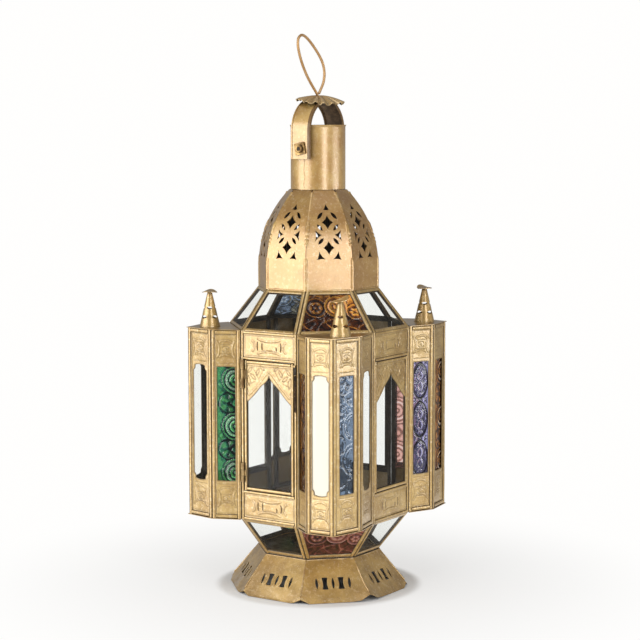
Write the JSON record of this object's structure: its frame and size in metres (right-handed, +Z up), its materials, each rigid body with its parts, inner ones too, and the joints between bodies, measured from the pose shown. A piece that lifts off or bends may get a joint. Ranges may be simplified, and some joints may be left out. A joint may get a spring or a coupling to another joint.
{
  "type": "moroccan metal lantern",
  "caption": "Eight-sided glazed tin candle lantern with projecting bays, hinged door, pierced dome, open neck, swinging bail and hanging loop.",
  "frame": {"origin": "centre of the foot on the surface it stands on, on the lantern's own upright axis", "axes": "+Z up along the neck, -Y out through the door, +X to the right of the door"},
  "size_m": [0.1992, 0.2042, 0.5531],
  "materials": {
    "gold_came": "aged gold paint on folded tin",
    "gold_stamped_sheet": "aged gold paint on stamped tin",
    "gold_sheet": "mottled aged gold paint",
    "gold_strap": "aged gold paint outside, brown inside",
    "gold_wire": "rubbed bronze-gold",
    "worn_fittings": "worn gold over dark metal",
    "dark_tin": "dark unpainted tin",
    "clear_glass": "clear window glass",
    "blue_glass": "pressed relief, transparent",
    "green_glass": "pressed relief, transparent",
    "violet_glass": "pressed relief, transparent",
    "amber_glass": "pressed relief, transparent",
    "rose_glass": "pressed relief, transparent",
    "wine_glass": "pressed relief, transparent"
  },
  "bodies": {
    "root": {"back_frame": "gold_came", "back_left_bay_frames": "gold_came", "back_left_bay_sheets": "gold_stamped_sheet", "back_right_bay_frames": "gold_came", "back_right_bay_sheets": "gold_stamped_sheet", "base_plate": "dark_tin", "bay_bottom_covers": "gold_sheet", "bay_glass_amber": "amber_glass", "bay_glass_blue": "blue_glass", "bay_glass_clear": "clear_glass", "bay_glass_green": "green_glass", "bay_glass_rose": "rose_glass", "bay_glass_violet": "violet_glass", "bay_top_covers": "gold_sheet", "candle_cup": "dark_tin", "dome_gores": "gold_sheet", "drip_pan": "dark_tin", "finial_cones": "gold_sheet", "finial_discs": "gold_sheet", "fixed_arch_plates": "gold_stamped_sheet", "fixed_sash_glass": "clear_glass", "fixed_sashes": "gold_came", "foot_skirt": "gold_sheet", "frame_knuckles": "worn_fittings", "front_frame": "gold_came", "front_left_bay_frames": "gold_came", "front_left_bay_sheets": "gold_stamped_sheet", "front_right_bay_frames": "gold_came", "front_right_bay_sheets": "gold_stamped_sheet", "hinge_pins": "worn_fittings", "latch_rivet": "worn_fittings", "left_frame": "gold_came", "lower_frames": "gold_came", "lower_glass_clear": "clear_glass", "lower_glass_green": "green_glass", "lower_glass_wine": "wine_glass", "lower_plates": "gold_stamped_sheet", "neck_tube": "gold_sheet", "pivot_screws": "worn_fittings", "right_frame": "gold_came", "ring_nuts": "worn_fittings", "roof_frames": "gold_came", "roof_glass_amber": "amber_glass", "roof_glass_blue": "blue_glass", "roof_glass_clear": "clear_glass", "square_washers": "worn_fittings", "upper_plates": "gold_stamped_sheet"},
    "door": {"door_sash": "gold_came", "door_arch_plate": "gold_stamped_sheet", "door_glass": "clear_glass", "door_knuckles": "worn_fittings"},
    "latch": {"latch_button": "worn_fittings"},
    "bail": {"bail_strap": "gold_strap", "cap_rosette": "gold_sheet"},
    "loop": {"hanging_loop": "gold_wire"}
  },
  "joints": [
    {"name": "door_hinge", "type": "hinge", "parent": "root", "child": "door", "pos_m": [-0.02985, -0.08903, 0.17], "axis": [0, 0, -1], "range_deg": [0, 115]},
    {"name": "latch_turn", "type": "hinge", "parent": "root", "child": "latch", "pos_m": [0.0319, -0.08793, 0.2338], "axis": [0, 1, 0], "range_deg": [0, 90]},
    {"name": "bail_pivot", "type": "hinge", "parent": "root", "child": "bail", "pos_m": [0, 0, 0.441], "axis": [0, 1, 0], "range_deg": [-85, 85]},
    {"name": "loop_swivel", "type": "hinge", "parent": "bail", "child": "loop", "pos_m": [0, 0, 0.49], "axis": [0, 0, 1], "continuous": true}
  ]
}
